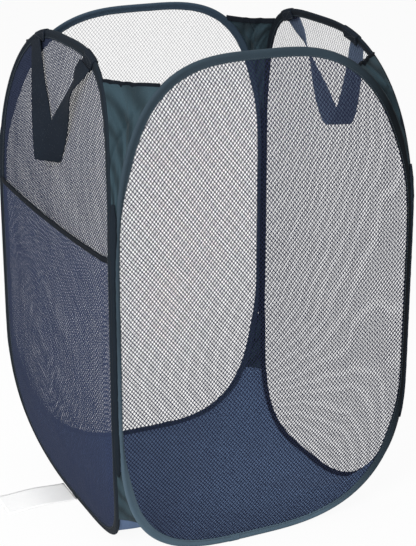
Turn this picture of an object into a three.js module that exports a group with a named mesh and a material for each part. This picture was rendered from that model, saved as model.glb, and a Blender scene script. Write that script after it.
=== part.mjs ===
// Pop-up laundry hamper: four sprung wire loops, each sewn into a binding tape round a net
// panel, joined at the corners, with gussets, a fabric base, two carry straps and a side pocket.
// Millimetres, +Z up. The origin is on the floor under the middle of the hamper, front is -Y.

import * as THREE from 'three';
import { mergeGeometries, mergeVertices } from 'three/addons/utils/BufferGeometryUtils.js';

// Whole hamper
const HEIGHT = 610;
const SPAN = 386;                 // between the middle planes of opposite panels, at the seams
const TOP_ARC_RISE = 256;         // height over which a loop rounds in at its top
const BOTTOM_ARC_RISE = 220;
const FLAT_LENGTH = 24;           // straight stretch at the crown and at the foot of a loop
const TOP_LEAN = 28;              // how far a loop bows inward at its top
const BOTTOM_LEAN = 32;
const ARC_POWER = 2.8;
const LEAN_POWER = 2.5;

// Fits
const CLEARANCE = 0.3;
const SEWN_GAP = 0.8;             // between a curved tape and the fabric sewn along it
const MERGE_DISTANCE = 0.0001;    // corners of a mesh closer than this are one corner

// Wire, ferrule and binding tape
const WIRE_DIAMETER = 1.8;
const WIRE_END_GAP = 0.8;
const FERRULE_WALL = 0.5;
const FERRULE_LENGTH = 16;
const TAPE_WALL = 0.55;
const TAPE_WIDTH = 10.5;

// Fabrics
const NET_THICKNESS = 1.2;
const FABRIC_THICKNESS = 1;
const WEBBING_THICKNESS = 1.8;
const WEBBING_WIDTH = 30;

// Net openings, drawn coarse: one opening stands for many of the knitted ones
const NET_PITCH_ACROSS = 58.5;
const NET_PITCH_UP = 84;
const NET_CORD = 7;
const NET_HEM = 4;

// Corner pieces
const UPPER_GUSSET_DROP = 25;     // from the crowns down to the upper gusset's edge
const UPPER_GUSSET_DEPTH = 139;
const LOWER_GUSSET_EDGE = 66;
const LOWER_GUSSET_APEX = 142;
const EDGING_WIDTH = 7;
const EDGING_THICKNESS = 2.4;
const WELT_WIDTH = 3.6;
const WELT_BOTTOM = 160;
const WELT_DROP = 26;             // from the upper gusset's lowest point down to the welt

// Base
const BASE_RAISE = 5;             // how far above a loop's foot the base is sewn to it
const BASE_RAISE_POWER = 6;       // how close to its edge the base turns up
const BASE_CORNER_POWER = 12;     // how sharply the base's corners turn

// Carry straps
const STRAP_SPACING = 166;
const WRAP_DEPTH = 17;
const STRAP_DROP = 122;
const STRAP_FLARE = 11;           // how far the bottom of the strap stands off the panel
const STRAP_SHIFT = 17;           // how far its bottom hangs to one side
const STRAP_BOTTOM_TURN = 62;     // degrees, from flat on the panel
const STRAP_BACK_TURN = 18;       // degrees, the other way, halfway up the shorter leg
const STRAP_RISE_POWER = 1.15;    // how soon a leg of the strap rises from the bottom
const STRAP_FLARE_POWER = 1.5;    // how soon it comes back to the panel
const STRAP_TURN_POWER = 1.5;     // how soon it turns flat

// Pocket
const POCKET_TOP = 400;
const POCKET_STAND = 1.8;         // from the sewn rim of the pocket's net to the net beside it
const POCKET_BULGE = 15;
const POCKET_SAG = 3;             // how much lower the pocket's top is in the middle
const POCKET_BAND_WIDTH = 7;
const POCKET_BAND_THICKNESS = 2.4;

// Label
const LABEL_LENGTH = 92;
const LABEL_WIDTH = 50;
const LABEL_THICKNESS = 0.8;
const LABEL_OFFSET = 46;

// Facet counts
const ARC_STEPS = 9;
const SEAM_STEPS = 2;
const WIRE_ARC_STEPS = 3;
const FERRULE_SIDES = 12;
const WRAP_STEPS = 4;
const LABEL_STEPS = 6;
const BASE_STEPS = 12;
const GUSSET_STEPS = 7;
const STRAP_STEPS = 30;
const POCKET_STEPS = 8;

// Worked out from the sizes above
const HALF_SPAN = SPAN / 2;
const WIRE_RADIUS = WIRE_DIAMETER / 2;
const FERRULE_BORE_RADIUS = WIRE_RADIUS + CLEARANCE;
const FERRULE_RADIUS = FERRULE_BORE_RADIUS + FERRULE_WALL;
const SLOT_HALF = FERRULE_RADIUS + CLEARANCE;
const TAPE_HALF = SLOT_HALF + TAPE_WALL;
const WIRE_INSET = TAPE_WALL + CLEARANCE + FERRULE_RADIUS;
const BEAD_INSET = WIRE_INSET + FERRULE_RADIUS + CLEARANCE;
const NET_EDGE_INSET = BEAD_INSET + CLEARANCE;
const TIP_SLOT_HALF = NET_THICKNESS / 2 + CLEARANCE;
const TIP_HALF = TIP_SLOT_HALF + TAPE_WALL;
const LOOP_HALF = HALF_SPAN - TAPE_HALF - CLEARANCE;
const ARC_REACH = LOOP_HALF - FLAT_LENGTH / 2;
const TOP_ARC_START = HEIGHT - TOP_ARC_RISE;
const UPPER_GUSSET_TOP = HEIGHT - UPPER_GUSSET_DROP;
const UPPER_GUSSET_APEX = UPPER_GUSSET_TOP - UPPER_GUSSET_DEPTH;
const WELT_TOP = UPPER_GUSSET_APEX - WELT_DROP;

const COLORS = { tape: 0x46606f, net: 0x4c5068, gusset: 0x3f5764, base: 0x3d4a66, strap: 0x2b3139,
  trim: 0x1b1f24, steel: 0xb9bcc0, label: 0xf2f2f0 };

function material(color, roughness = 0.85, metalness = 0) {
  return new THREE.MeshStandardMaterial({ color, roughness, metalness });
}

// Volume that a closed mesh encloses, negative where its faces point inward
function signedVolume(geometry) {
  const position = geometry.attributes.position;
  const index = geometry.index;
  const corners = [new THREE.Vector3(), new THREE.Vector3(), new THREE.Vector3()];
  let volume = 0;
  for (let i = 0; i < index.count; i += 3) {
    corners.forEach((corner, j) => corner.fromBufferAttribute(position, index.getX(i + j)));
    volume += corners[0].dot(corners[1].cross(corners[2])) / 6;
  }
  return volume;
}

// A bend can mirror a solid, so its faces are turned outward again here
function faceOutward(geometry) {
  if (signedVolume(geometry) > 0) return geometry;
  const index = geometry.index;
  for (let i = 0; i < index.count; i += 3) {
    const second = index.getX(i + 1);
    index.setX(i + 1, index.getX(i + 2));
    index.setX(i + 2, second);
  }
  return geometry;
}

// Closed mesh with shared corners, its faces pointing out
function closedGeometry(geometry) {
  for (const key of ['normal', 'uv']) geometry.deleteAttribute(key);
  return faceOutward(mergeVertices(geometry, MERGE_DISTANCE));
}

function solid(name, geometry, look) {
  const closed = closedGeometry(geometry);
  closed.computeVertexNormals();
  const mesh = new THREE.Mesh(closed, look);
  mesh.name = name;
  return mesh;
}

// Moves every vertex by a function of its x, y and z
function bend(geometry, place) {
  const position = geometry.attributes.position;
  const vertex = new THREE.Vector3();
  for (let i = 0; i < position.count; i++) {
    vertex.fromBufferAttribute(position, i);
    const moved = place(vertex);
    position.setXYZ(i, moved.x, moved.y, moved.z);
  }
  return geometry;
}

// How far the loops lean in at height z
function lean(z) {
  const above = Math.max(0, z - TOP_ARC_START) / TOP_ARC_RISE;
  const below = Math.max(0, BOTTOM_ARC_RISE - z) / BOTTOM_ARC_RISE;
  return TOP_LEAN * above ** LEAN_POWER + BOTTOM_LEAN * below ** LEAN_POWER;
}

// Share of its reach that a round corner still has, at a share of its rise
function arcShare(share) {
  return (1 - Math.min(1, share) ** ARC_POWER) ** (1 / ARC_POWER);
}

// Half width of a loop at height z
function loopHalfAt(z) {
  const above = Math.max(0, z - TOP_ARC_START) / TOP_ARC_RISE;
  const below = Math.max(0, BOTTOM_ARC_RISE - z) / BOTTOM_ARC_RISE;
  return FLAT_LENGTH / 2 + ARC_REACH * arcShare(Math.max(above, below));
}

// Height of a loop's foot at a distance u from its middle
function footHeightAt(u) {
  const share = Math.max(0, Math.abs(u) - FLAT_LENGTH / 2) / ARC_REACH;
  return BOTTOM_ARC_RISE * (1 - arcShare(share));
}

// Height of a loop's crown at a distance u from its middle
function crownHeightAt(u) {
  const share = Math.max(0, Math.abs(u) - FLAT_LENGTH / 2) / ARC_REACH;
  return TOP_ARC_START + TOP_ARC_RISE * arcShare(share);
}

// Outline of a loop, from the middle of its foot, anticlockwise seen from outside
function loopOutline() {
  const half = [];
  const quarter = Math.PI / 2;
  for (let i = 0; i <= ARC_STEPS; i++) {
    const angle = quarter * i / ARC_STEPS;
    const across = Math.sin(angle) ** (2 / ARC_POWER);
    const up = Math.cos(angle) ** (2 / ARC_POWER);
    half.push([FLAT_LENGTH / 2 + ARC_REACH * across, BOTTOM_ARC_RISE * (1 - up)]);
  }
  const seam = TOP_ARC_START - BOTTOM_ARC_RISE;
  for (let i = 1; i < SEAM_STEPS; i++) half.push([LOOP_HALF, BOTTOM_ARC_RISE + seam * i / SEAM_STEPS]);
  for (let i = 0; i <= ARC_STEPS; i++) {
    const angle = quarter * i / ARC_STEPS;
    const across = Math.cos(angle) ** (2 / ARC_POWER);
    const up = Math.sin(angle) ** (2 / ARC_POWER);
    half.push([FLAT_LENGTH / 2 + ARC_REACH * across, TOP_ARC_START + TOP_ARC_RISE * up]);
  }
  const other = half.map(([u, z]) => [-u, z]).reverse();
  return [[0, 0], ...half, [0, HEIGHT], ...other].map(([u, z]) => new THREE.Vector2(u, z));
}

const OUTLINE = loopOutline();

// The outline moved inward by a distance, corner by corner
function insetOutline(distance) {
  const count = OUTLINE.length;
  return OUTLINE.map((point, i) => {
    const before = OUTLINE[(i + count - 1) % count];
    const after = OUTLINE[(i + 1) % count];
    const first = point.clone().sub(before).normalize();
    const second = after.clone().sub(point).normalize();
    const inward = new THREE.Vector2(-first.y - second.y, first.x + second.x).normalize();
    const reach = distance / inward.dot(new THREE.Vector2(-first.y, first.x));
    return point.clone().addScaledVector(inward, reach);
  });
}

// A point of a panel: u along it, z up, w inward from its middle surface
function onPanel(u, z, w) {
  return new THREE.Vector3(u, -HALF_SPAN + lean(z) + w, z);
}

// A ring: a section of [inset, w] pairs carried once round the outline
function ringGeometry(section) {
  const corners = section.map(([x, y]) => new THREE.Vector2(x, y));
  const ring = new THREE.LatheGeometry(corners, OUTLINE.length);
  const position = ring.attributes.position;
  corners.forEach((corner, j) => {
    const path = insetOutline(corner.x);
    for (let i = 0; i <= OUTLINE.length; i++) {
      const point = path[i % OUTLINE.length];
      const placed = onPanel(point.x, point.y, corner.y);
      position.setXYZ(i * corners.length + j, placed.x, placed.y, placed.z);
    }
  });
  return ring;
}

// Binding tape: a folded strip, with a bead for the wire and two sewn flanges
function bindingTape(name) {
  const outer = [[0, TAPE_HALF], [BEAD_INSET, TAPE_HALF], [TAPE_WIDTH, TIP_HALF]];
  const inner = [[TAPE_WIDTH, TIP_SLOT_HALF], [BEAD_INSET, SLOT_HALF], [TAPE_WALL, SLOT_HALF]];
  const upper = [...outer, ...inner];
  const lower = upper.map(([x, y]) => [x, -y]).reverse();
  return solid(name, ringGeometry([...upper, ...lower, upper[0]]), material(COLORS.tape));
}

// Wire loop: one sprung wire whose two ends meet in the ferrule
function wireLoop(name) {
  const steps = OUTLINE.length;
  const section = new THREE.Shape();
  section.absarc(0, 0, WIRE_RADIUS, 0, 2 * Math.PI);
  const options = { depth: steps, steps, bevelEnabled: false, curveSegments: WIRE_ARC_STEPS };
  const wire = new THREE.ExtrudeGeometry(section, options);
  const paths = new Map();
  return solid(name, bend(wire, ({ x, y, z }) => {
    const key = x.toFixed(4);
    if (!paths.has(key)) paths.set(key, insetOutline(WIRE_INSET - x));
    const step = Math.round(z);
    const point = paths.get(key)[step % steps].clone();
    if (step === 0) point.x = WIRE_END_GAP / 2;
    if (step === steps) point.x = -WIRE_END_GAP / 2;
    return onPanel(point.x, point.y, y);
  }), material(COLORS.steel, 0.35, 1));
}

// Ferrule: a short tube crimped over the wire's ends, at the middle of the foot
function wireFerrule(name) {
  const half = FERRULE_LENGTH / 2;
  const profile = [[FERRULE_BORE_RADIUS, -half], [FERRULE_RADIUS, -half], [FERRULE_RADIUS, half],
    [FERRULE_BORE_RADIUS, half], [FERRULE_BORE_RADIUS, -half]];
  const corners = profile.map(([x, y]) => new THREE.Vector2(x, y));
  const tube = new THREE.LatheGeometry(corners, FERRULE_SIDES);
  const place = ({ x, y, z }) => onPanel(y, WIRE_INSET + x, z);
  return solid(name, bend(tube, place), material(COLORS.steel, 0.4, 1));
}

// Openings of the net that lie whole inside a loop, in staggered rows
function netOpenings(bottom, top, halfAt) {
  const openings = [];
  const halfAcross = (NET_PITCH_ACROSS - NET_CORD) / 2;
  const halfUp = (NET_PITCH_UP - NET_CORD) / 2;
  const rowGap = NET_PITCH_UP / 2;
  const rows = Math.floor((top - bottom) / rowGap);
  const middle = (top + bottom) / 2;
  for (let row = -rows; row <= rows; row++) {
    const z = middle + row * rowGap;
    if (z - halfUp < bottom || z + halfUp > top) continue;
    const shift = row % 2 === 0 ? 0 : NET_PITCH_ACROSS / 2;
    const columns = Math.ceil(LOOP_HALF / NET_PITCH_ACROSS) + 1;
    for (let column = -columns; column <= columns; column++) {
      const u = column * NET_PITCH_ACROSS + shift;
      const reach = Math.abs(u) + halfAcross / 2;
      const room = Math.min(halfAt(z - halfUp / 2), halfAt(z + halfUp / 2));
      if (reach > room || Math.abs(u) + halfAcross > halfAt(z)) continue;
      const ends = [halfAt(z - halfUp), halfAt(z + halfUp)];
      if (Math.abs(u) > Math.min(...ends)) continue;
      openings.push([[u + halfAcross, z], [u, z + halfUp], [u - halfAcross, z], [u, z - halfUp]]);
    }
  }
  return openings;
}

// Twice the area of a triangle seen from above, negative where it turns clockwise
function turning(a, b, c) {
  return (b.x - a.x) * (c.y - a.y) - (b.y - a.y) * (c.x - a.x);
}

// Swaps the side that two flat triangles share wherever the other diagonal is shorter
function shortenSides(geometry) {
  const position = geometry.attributes.position;
  const index = geometry.index;
  const triangleOf = (i) => i - i % 3;
  const cornerAfter = (i, steps) => index.getX(triangleOf(i) + (i + steps) % 3);
  for (let swapped = true; swapped;) {
    swapped = false;
    const sides = new Map();
    const changed = new Set();
    for (let i = 0; i < index.count; i++) {
      const [from, to, tip] = [0, 1, 2].map((steps) => cornerAfter(i, steps));
      sides.set(`${from} ${to}`, i);
      const twin = sides.get(`${to} ${from}`);
      if (twin === undefined || changed.has(triangleOf(i)) || changed.has(triangleOf(twin))) continue;
      const corners = [from, to, tip, cornerAfter(twin, 2)];
      const [a, b, c, d] = corners.map((k) => new THREE.Vector3().fromBufferAttribute(position, k));
      const isFlat = a.z === b.z && b.z === c.z && c.z === d.z;
      const turns = [turning(a, b, c), turning(c, a, d), turning(d, b, c)];
      const isConvex = turns[0] * turns[1] > 0 && turns[0] * turns[2] > 0;
      if (!isFlat || !isConvex || c.distanceTo(d) > a.distanceTo(b) - CLEARANCE) continue;
      [tip, from, corners[3]].forEach((k, j) => index.setX(triangleOf(i) + j, k));
      [corners[3], to, tip].forEach((k, j) => index.setX(triangleOf(twin) + j, k));
      changed.add(triangleOf(i)).add(triangleOf(twin));
      swapped = true;
    }
  }
  return geometry;
}

// A flat net plate, before it is bent to its panel
function netPlate(outline, openings) {
  const shape = new THREE.Shape(outline);
  for (const corners of openings) {
    shape.holes.push(new THREE.Path(corners.map(([u, z]) => new THREE.Vector2(u, z))));
  }
  const options = { depth: NET_THICKNESS, steps: 1, bevelEnabled: false };
  const plate = new THREE.ExtrudeGeometry(shape, options);
  for (const key of ['normal', 'uv']) plate.deleteAttribute(key);
  return shortenSides(mergeVertices(plate, MERGE_DISTANCE)).toNonIndexed();
}

// The same plate without the wall round its outline, so that a hem can take its place
function openPlate(outline, openings) {
  const plate = netPlate(outline, openings);
  const key = (x, y) => `${x.toFixed(3)} ${y.toFixed(3)}`;
  const rim = new Set(outline.map((point) => key(point.x, point.y)));
  const position = plate.attributes.position;
  const kept = [];
  for (let i = 0; i < position.count; i += 3) {
    const corners = [0, 1, 2].map((j) => new THREE.Vector3().fromBufferAttribute(position, i + j));
    const onRim = corners.every((corner) => rim.has(key(corner.x, corner.y)));
    const isWall = corners.some((corner) => Math.abs(corner.z - corners[0].z) > NET_THICKNESS / 2);
    if (!(onRim && isWall)) kept.push(...corners);
  }
  return new THREE.BufferGeometry().setFromPoints(kept);
}

// Net panel: an open net with a hem, which the flanges of the tape hold
function netPanel(name) {
  const half = NET_THICKNESS / 2;
  const hemEnd = TAPE_WIDTH + NET_HEM;
  const edge = NET_EDGE_INSET;
  const hem = ringGeometry([[hemEnd, half], [edge, half], [edge, -half], [hemEnd, -half]]);
  const margin = hemEnd + NET_CORD / 2;
  const openings = netOpenings(margin, HEIGHT - margin, (z) => loopHalfAt(z) - margin);
  const plate = openPlate(insetOutline(hemEnd), openings);
  bend(plate, ({ x, y, z }) => onPanel(x, y, half - z));
  for (const key of ['normal', 'uv']) hem.deleteAttribute(key);
  return solid(name, mergeGeometries([hem.toNonIndexed(), plate]), material(COLORS.net));
}

// A strip lofted up between two edges: edgeA(z) and edgeB(z) give points at height z
function loftedStrip(bottom, top, thickness, stepsAcross, stepsUp, edgeA, edgeB) {
  const box = new THREE.BoxGeometry(1, 1, 1, stepsAcross, 1, stepsUp);
  return bend(box, ({ x, y, z }) => {
    const height = bottom + (top - bottom) * (z + 0.5);
    const a = edgeA(height);
    const b = edgeB(height);
    const across = b.clone().sub(a).setZ(0).normalize();
    const outward = new THREE.Vector3(across.y, -across.x, 0);
    return a.lerp(b, x + 0.5).addScaledVector(outward, thickness * y);
  });
}

// Corner pieces are drawn at the front left corner, between the front and the left loop
function frontEdge(z) {
  return new THREE.Vector3(-loopHalfAt(z) - SEWN_GAP, -HALF_SPAN + lean(z), z);
}

function mirrorOverDiagonal(point) {
  return new THREE.Vector3(point.y, point.x, point.z);
}

function cornerStrip(name, bottom, top, thickness, stepsUp, look) {
  const frontSide = (z) => frontEdge(z).add(new THREE.Vector3(-thickness / 2, thickness / 2, 0));
  const leftSide = (z) => mirrorOverDiagonal(frontSide(z));
  return solid(name, loftedStrip(bottom, top, thickness, 2, stepsUp, leftSide, frontSide), look);
}

function upperGusset(name) {
  const top = UPPER_GUSSET_TOP - EDGING_WIDTH - CLEARANCE;
  return cornerStrip(name, UPPER_GUSSET_APEX, top, FABRIC_THICKNESS, GUSSET_STEPS, material(COLORS.gusset));
}

function gussetEdging(name) {
  const bottom = UPPER_GUSSET_TOP - EDGING_WIDTH;
  return cornerStrip(name, bottom, UPPER_GUSSET_TOP, EDGING_THICKNESS, 1, material(COLORS.trim));
}

function lowerGusset(name) {
  const look = material(COLORS.base);
  return cornerStrip(name, LOWER_GUSSET_EDGE, LOWER_GUSSET_APEX, FABRIC_THICKNESS, GUSSET_STEPS, look);
}

// Welt in the groove where two tapes are sewn edge to edge
function cornerWelt(name) {
  const size = WELT_WIDTH;
  const box = new THREE.BoxGeometry(size, size, 1, 1, 1, GUSSET_STEPS);
  const middle = LOOP_HALF + CLEARANCE + size / 2;
  return solid(name, bend(box, ({ x, y, z }) => {
    const height = WELT_BOTTOM + (WELT_TOP - WELT_BOTTOM) * (z + 0.5);
    const place = -middle + lean(height);
    return new THREE.Vector3(place + x, place + y, height);
  }), material(COLORS.trim));
}

// Where the inner face of a loop's foot lies, facet by facet, at a distance u from its middle
function footSeatAt(u) {
  const path = insetOutline(BASE_RAISE + FABRIC_THICKNESS);
  const next = path.findIndex((point) => point.x > u);
  const [before, after] = [path[next - 1], path[next]];
  const share = (u - before.x) / (after.x - before.x);
  return HALF_SPAN - THREE.MathUtils.lerp(lean(before.y), lean(after.y), share) - TAPE_HALF;
}

// Base: a sheet that lies on the floor in the middle and climbs from there, in four creased
// corners, along the loops' feet to the lower gussets
function basePanel(name) {
  const sheet = new THREE.BoxGeometry(2, 2, 1, BASE_STEPS, BASE_STEPS, 1);
  const cornerHeight = LOWER_GUSSET_EDGE - BASE_RAISE - FABRIC_THICKNESS - CLEARANCE;
  const reach = loopHalfAt(cornerHeight);
  const edgeAt = (along) => {
    const edge = footSeatAt(along) - SEWN_GAP;
    return THREE.MathUtils.lerp(edge, reach + TAPE_HALF, (along / reach) ** BASE_CORNER_POWER);
  };
  return solid(name, bend(sheet, ({ x, y, z }) => {
    const u = Math.abs(x) * reach;
    const v = Math.abs(y) * reach;
    const rise = BASE_RAISE * (Math.max(u, v) / reach) ** BASE_RAISE_POWER;
    const height = footHeightAt(Math.min(u, v)) + rise + FABRIC_THICKNESS * (z + 0.5);
    return new THREE.Vector3(x * edgeAt(v), y * edgeAt(u), height);
  }), material(COLORS.base));
}

// Strap end: webbing folded over the crown of a side loop and sewn down on both faces
function strapWrap(name, middle) {
  const inner = TAPE_HALF + CLEARANCE;
  const outer = inner + WEBBING_THICKNESS;
  const top = CLEARANCE + WEBBING_THICKNESS;
  const corners = [[-top, -outer], [WRAP_DEPTH, -outer], [WRAP_DEPTH, -inner], [-CLEARANCE, -inner],
    [-CLEARANCE, inner], [WRAP_DEPTH, inner], [WRAP_DEPTH, outer], [-top, outer]];
  const section = new THREE.Shape(corners.map(([x, y]) => new THREE.Vector2(x, y)));
  const options = { depth: WEBBING_WIDTH, steps: WRAP_STEPS, bevelEnabled: false };
  const wrap = new THREE.ExtrudeGeometry(section, options);
  return solid(name, bend(wrap, ({ x, y, z }) => {
    const u = middle + WEBBING_WIDTH / 2 - z;
    return onPanel(u, crownHeightAt(u) - x, y);
  }), material(COLORS.strap));
}

// Height at which the free part of a strap leaves its wraps
function strapStart() {
  return crownHeightAt((STRAP_SPACING + WEBBING_WIDTH) / 2) - WRAP_DEPTH / 2;
}

// How far a strap is turned from flat, t of the way from its bottom (0) to a wrap (-1 or 1)
function strapTurn(t) {
  const share = Math.abs(t);
  const opening = STRAP_BOTTOM_TURN * (1 - share) ** STRAP_TURN_POWER;
  const back = t > 0 ? STRAP_BACK_TURN * Math.sin(Math.PI * share) : 0;
  return THREE.MathUtils.degToRad(opening - back);
}

// Middle line of a strap: down from one wrap and up to the other, standing off the panel
function strapMiddle(t) {
  const share = Math.abs(t);
  const lowest = strapStart() - STRAP_DROP;
  const u = THREE.MathUtils.lerp(STRAP_SHIFT, Math.sign(t) * STRAP_SPACING / 2, share);
  const z = lowest + STRAP_DROP * share ** STRAP_RISE_POWER;
  const wrapFace = TAPE_HALF + CLEARANCE + WEBBING_THICKNESS;
  const stand = wrapFace + SEWN_GAP + WEBBING_THICKNESS / 2;
  return onPanel(u, z, -stand - STRAP_FLARE * (1 - share) ** STRAP_FLARE_POWER);
}

// Carry strap: hangs in a narrow loop outside the panel, its bottom turned partly edge-out
function carryStrap(name) {
  const box = new THREE.BoxGeometry(1, 1, 1, 1, 1, STRAP_STEPS);
  const step = 1 / STRAP_STEPS;
  return solid(name, bend(box, ({ x, y, z }) => {
    const t = 2 * z;
    const ahead = strapMiddle(Math.min(1, t + step));
    const along = ahead.sub(strapMiddle(Math.max(-1, t - step))).normalize();
    const turn = strapTurn(t);
    const width = new THREE.Vector3(-Math.cos(turn), -Math.sin(turn), 0);
    const thick = along.cross(width).normalize();
    const middle = strapMiddle(t).addScaledVector(width, WEBBING_WIDTH * x);
    return middle.addScaledVector(thick, WEBBING_THICKNESS * y);
  }), material(COLORS.strap));
}

// How far the middle of the pocket's net stands off the panel: sewn down on the tape at its
// sides and foot, clear of the panel's own net inside that, and slack in the middle
function pocketStand(u, z) {
  const half = loopHalfAt(z);
  const fromRim = Math.min(half - Math.abs(u), z - footHeightAt(u)) - TAPE_WIDTH / 2;
  const inside = THREE.MathUtils.clamp(fromRim / TAPE_WIDTH, 0, 1);
  const side = Math.min(1, Math.abs(u) / (half - TAPE_WIDTH));
  const up = THREE.MathUtils.clamp(z / POCKET_TOP, 0, 1);
  const slack = POCKET_BULGE * (1 - side ** 2) * Math.sin(up * Math.PI / 2);
  return TAPE_HALF + CLEARANCE + NET_THICKNESS / 2 + POCKET_STAND * inside + slack;
}

// Height of the pocket's top edge, which sags towards its middle
function pocketTopAt(u) {
  const side = Math.abs(u) / loopHalfAt(POCKET_TOP);
  return POCKET_TOP - POCKET_SAG * (1 - side ** 2);
}

// Pocket net: a second net over the lower part of the left panel, open at its top
function pocketNet(name) {
  const bandFoot = POCKET_BAND_WIDTH + CLEARANCE;
  const topHalf = loopHalfAt(POCKET_TOP) - TAPE_WIDTH / 2;
  const top = [];
  for (let i = 0; i <= POCKET_STEPS; i++) {
    const u = topHalf * (1 - 2 * i / POCKET_STEPS);
    top.push(new THREE.Vector2(u, pocketTopAt(u) - bandFoot));
  }
  const rim = insetOutline(TAPE_WIDTH / 2).filter((point) => point.y < POCKET_TOP - bandFoot);
  rim.splice(rim.findIndex((point) => point.x < 0), 0, ...top);
  const margin = TAPE_WIDTH + NET_CORD;
  const highest = pocketTopAt(0) - bandFoot - NET_CORD;
  const openings = netOpenings(margin, highest, (z) => loopHalfAt(z) - margin);
  const place = ({ x, y, z }) => onPanel(x, y, -pocketStand(x, y) - NET_THICKNESS / 2 + z);
  return solid(name, bend(netPlate(rim, openings), place), material(COLORS.net));
}

// Pocket band: elastic binding along the pocket's top edge
function pocketBand(name) {
  const band = new THREE.BoxGeometry(2, 1, 1, POCKET_STEPS, 1, 1);
  const half = loopHalfAt(POCKET_TOP) - TAPE_WIDTH / 2;
  return solid(name, bend(band, ({ x, y, z }) => {
    const u = x * half;
    const height = pocketTopAt(u) + POCKET_BAND_WIDTH * (z - 0.5);
    const off = pocketStand(u, POCKET_TOP) + (POCKET_BAND_THICKNESS - NET_THICKNESS) / 2;
    return onPanel(u, height, -off + POCKET_BAND_THICKNESS * y);
  }), material(COLORS.trim));
}

// Blank label, sewn in at the foot of the left loop and lying on the floor
function careLabel(name) {
  const box = new THREE.BoxGeometry(LABEL_WIDTH, LABEL_LENGTH, LABEL_THICKNESS, 1, LABEL_STEPS, 1);
  const foot = lean(0) - HALF_SPAN - TAPE_HALF - 2 * CLEARANCE;
  box.translate(-LABEL_OFFSET, foot - LABEL_LENGTH / 2, LABEL_THICKNESS / 2);
  return solid(name, box, material(COLORS.label));
}

// Each side is drawn as the front one and turned to its place
function panel(side, turns) {
  const group = new THREE.Group();
  group.rotation.z = turns * Math.PI / 2;
  group.add(bindingTape(`${side}_binding_tape`));
  group.add(wireLoop(`${side}_wire_loop`));
  group.add(wireFerrule(`${side}_wire_ferrule`));
  group.add(netPanel(`${side}_net_panel`));
  return group;
}

function addHandle(group, side) {
  const towardFront = side === 'left' ? STRAP_SPACING / 2 : -STRAP_SPACING / 2;
  group.add(strapWrap(`${side}_strap_rear_wrap`, -towardFront));
  group.add(strapWrap(`${side}_strap_front_wrap`, towardFront));
  group.add(carryStrap(`${side}_carry_strap`));
}

function corner(name, turns) {
  const group = new THREE.Group();
  group.rotation.z = turns * Math.PI / 2;
  group.add(upperGusset(`${name}_upper_gusset`));
  group.add(gussetEdging(`${name}_gusset_edging`));
  group.add(lowerGusset(`${name}_lower_gusset`));
  group.add(cornerWelt(`${name}_corner_welt`));
  return group;
}

const hamper = new THREE.Group();
const left = panel('left', -1);
const right = panel('right', 1);
addHandle(left, 'left');
addHandle(right, 'right');
left.add(pocketNet('side_pocket_net'), pocketBand('side_pocket_band'), careLabel('care_label'));
hamper.add(panel('front', 0), left, right, panel('back', 2));
hamper.add(corner('front_left', 0), corner('front_right', 1));
hamper.add(corner('back_right', 2), corner('back_left', 3));
hamper.add(basePanel('base_panel'));

export default hamper;
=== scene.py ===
import math

import bpy
import numpy as np
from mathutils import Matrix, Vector


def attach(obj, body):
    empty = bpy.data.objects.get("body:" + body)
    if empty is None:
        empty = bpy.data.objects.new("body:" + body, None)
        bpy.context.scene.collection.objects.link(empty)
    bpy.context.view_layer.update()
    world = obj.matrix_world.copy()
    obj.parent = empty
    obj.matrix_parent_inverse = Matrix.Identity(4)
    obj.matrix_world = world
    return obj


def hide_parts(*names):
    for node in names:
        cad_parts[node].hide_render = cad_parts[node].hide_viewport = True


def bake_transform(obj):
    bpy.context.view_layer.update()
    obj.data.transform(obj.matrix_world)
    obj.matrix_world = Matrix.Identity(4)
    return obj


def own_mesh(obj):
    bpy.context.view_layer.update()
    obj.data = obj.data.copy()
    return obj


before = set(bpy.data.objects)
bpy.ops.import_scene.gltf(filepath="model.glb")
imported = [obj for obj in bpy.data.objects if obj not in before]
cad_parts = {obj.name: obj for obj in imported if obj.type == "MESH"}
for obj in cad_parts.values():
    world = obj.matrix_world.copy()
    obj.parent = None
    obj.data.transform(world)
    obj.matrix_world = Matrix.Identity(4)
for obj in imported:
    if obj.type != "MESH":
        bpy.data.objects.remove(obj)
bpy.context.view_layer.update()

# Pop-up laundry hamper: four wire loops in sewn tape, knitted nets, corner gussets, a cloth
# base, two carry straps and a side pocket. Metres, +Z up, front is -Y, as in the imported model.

# Loops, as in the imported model
HEIGHT = 0.610
HALF_SPAN = 0.193
TOP_RISE = 0.256
FOOT_RISE = 0.220
FLAT_HALF = 0.012
ARC_REACH = 0.17815
ARC_POWER = 2.8
TOP_LEAN = 0.028
FOOT_LEAN = 0.032
LEAN_POWER = 2.5
TOP_START = HEIGHT - TOP_RISE
TAPE_HALF = 0.00255

# Binding tape: its width, half its section from the edge of one flange to the fold, where its
# flanges start, how much of them is drawn into the seams and between which heights, its
# stitches (length, width, height) and their line
TAPE_WIDTH = 0.0105
TAPE_SECTION = [
    (.01050, -.0005), (.01038, -.00110), (.0098, -.00132), (.0088, -.00128), (.0078, -.00136),
    (.0068, -.00150), (.0058, -.00180), (.0049, -.00220), (.0040, -.00248), (.0030, -.00260),
    (.0020, -.00245), (.0011, -.00195), (.0004, -.00120), (.0, -.0)]
FLANGE_START = 0.0044
FLANGE_DRAWN = 0.86
SEAM_FOOT = 0.105
SEAM_CROWN = 0.515
SEAM_EASE = 0.085
WIDE_SEAM = -0.9
TAPE_STITCH = (.0024, .00045, .0003)
STITCH_LINE = 0.0089
LAP_SWELL = 1.22

# Knitted net: its mesh, the width of its cords and their depth for it, the surface of a whole
# net's cords for each metre of their width, and how far its hem lies from the tape's edge
MESH_ACROSS = 0.00465
MESH_UP = 0.0056
CORD_WIDTH = {"front": .00082, "left": .00078, "right": .00036, "back": .00031, "pocket": .00066}
CORD_FLATNESS = 0.9
NET_LOOSENESS = 0.0007
NET_HEM = 0.0065
NET_SLACK = 0.0012

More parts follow.
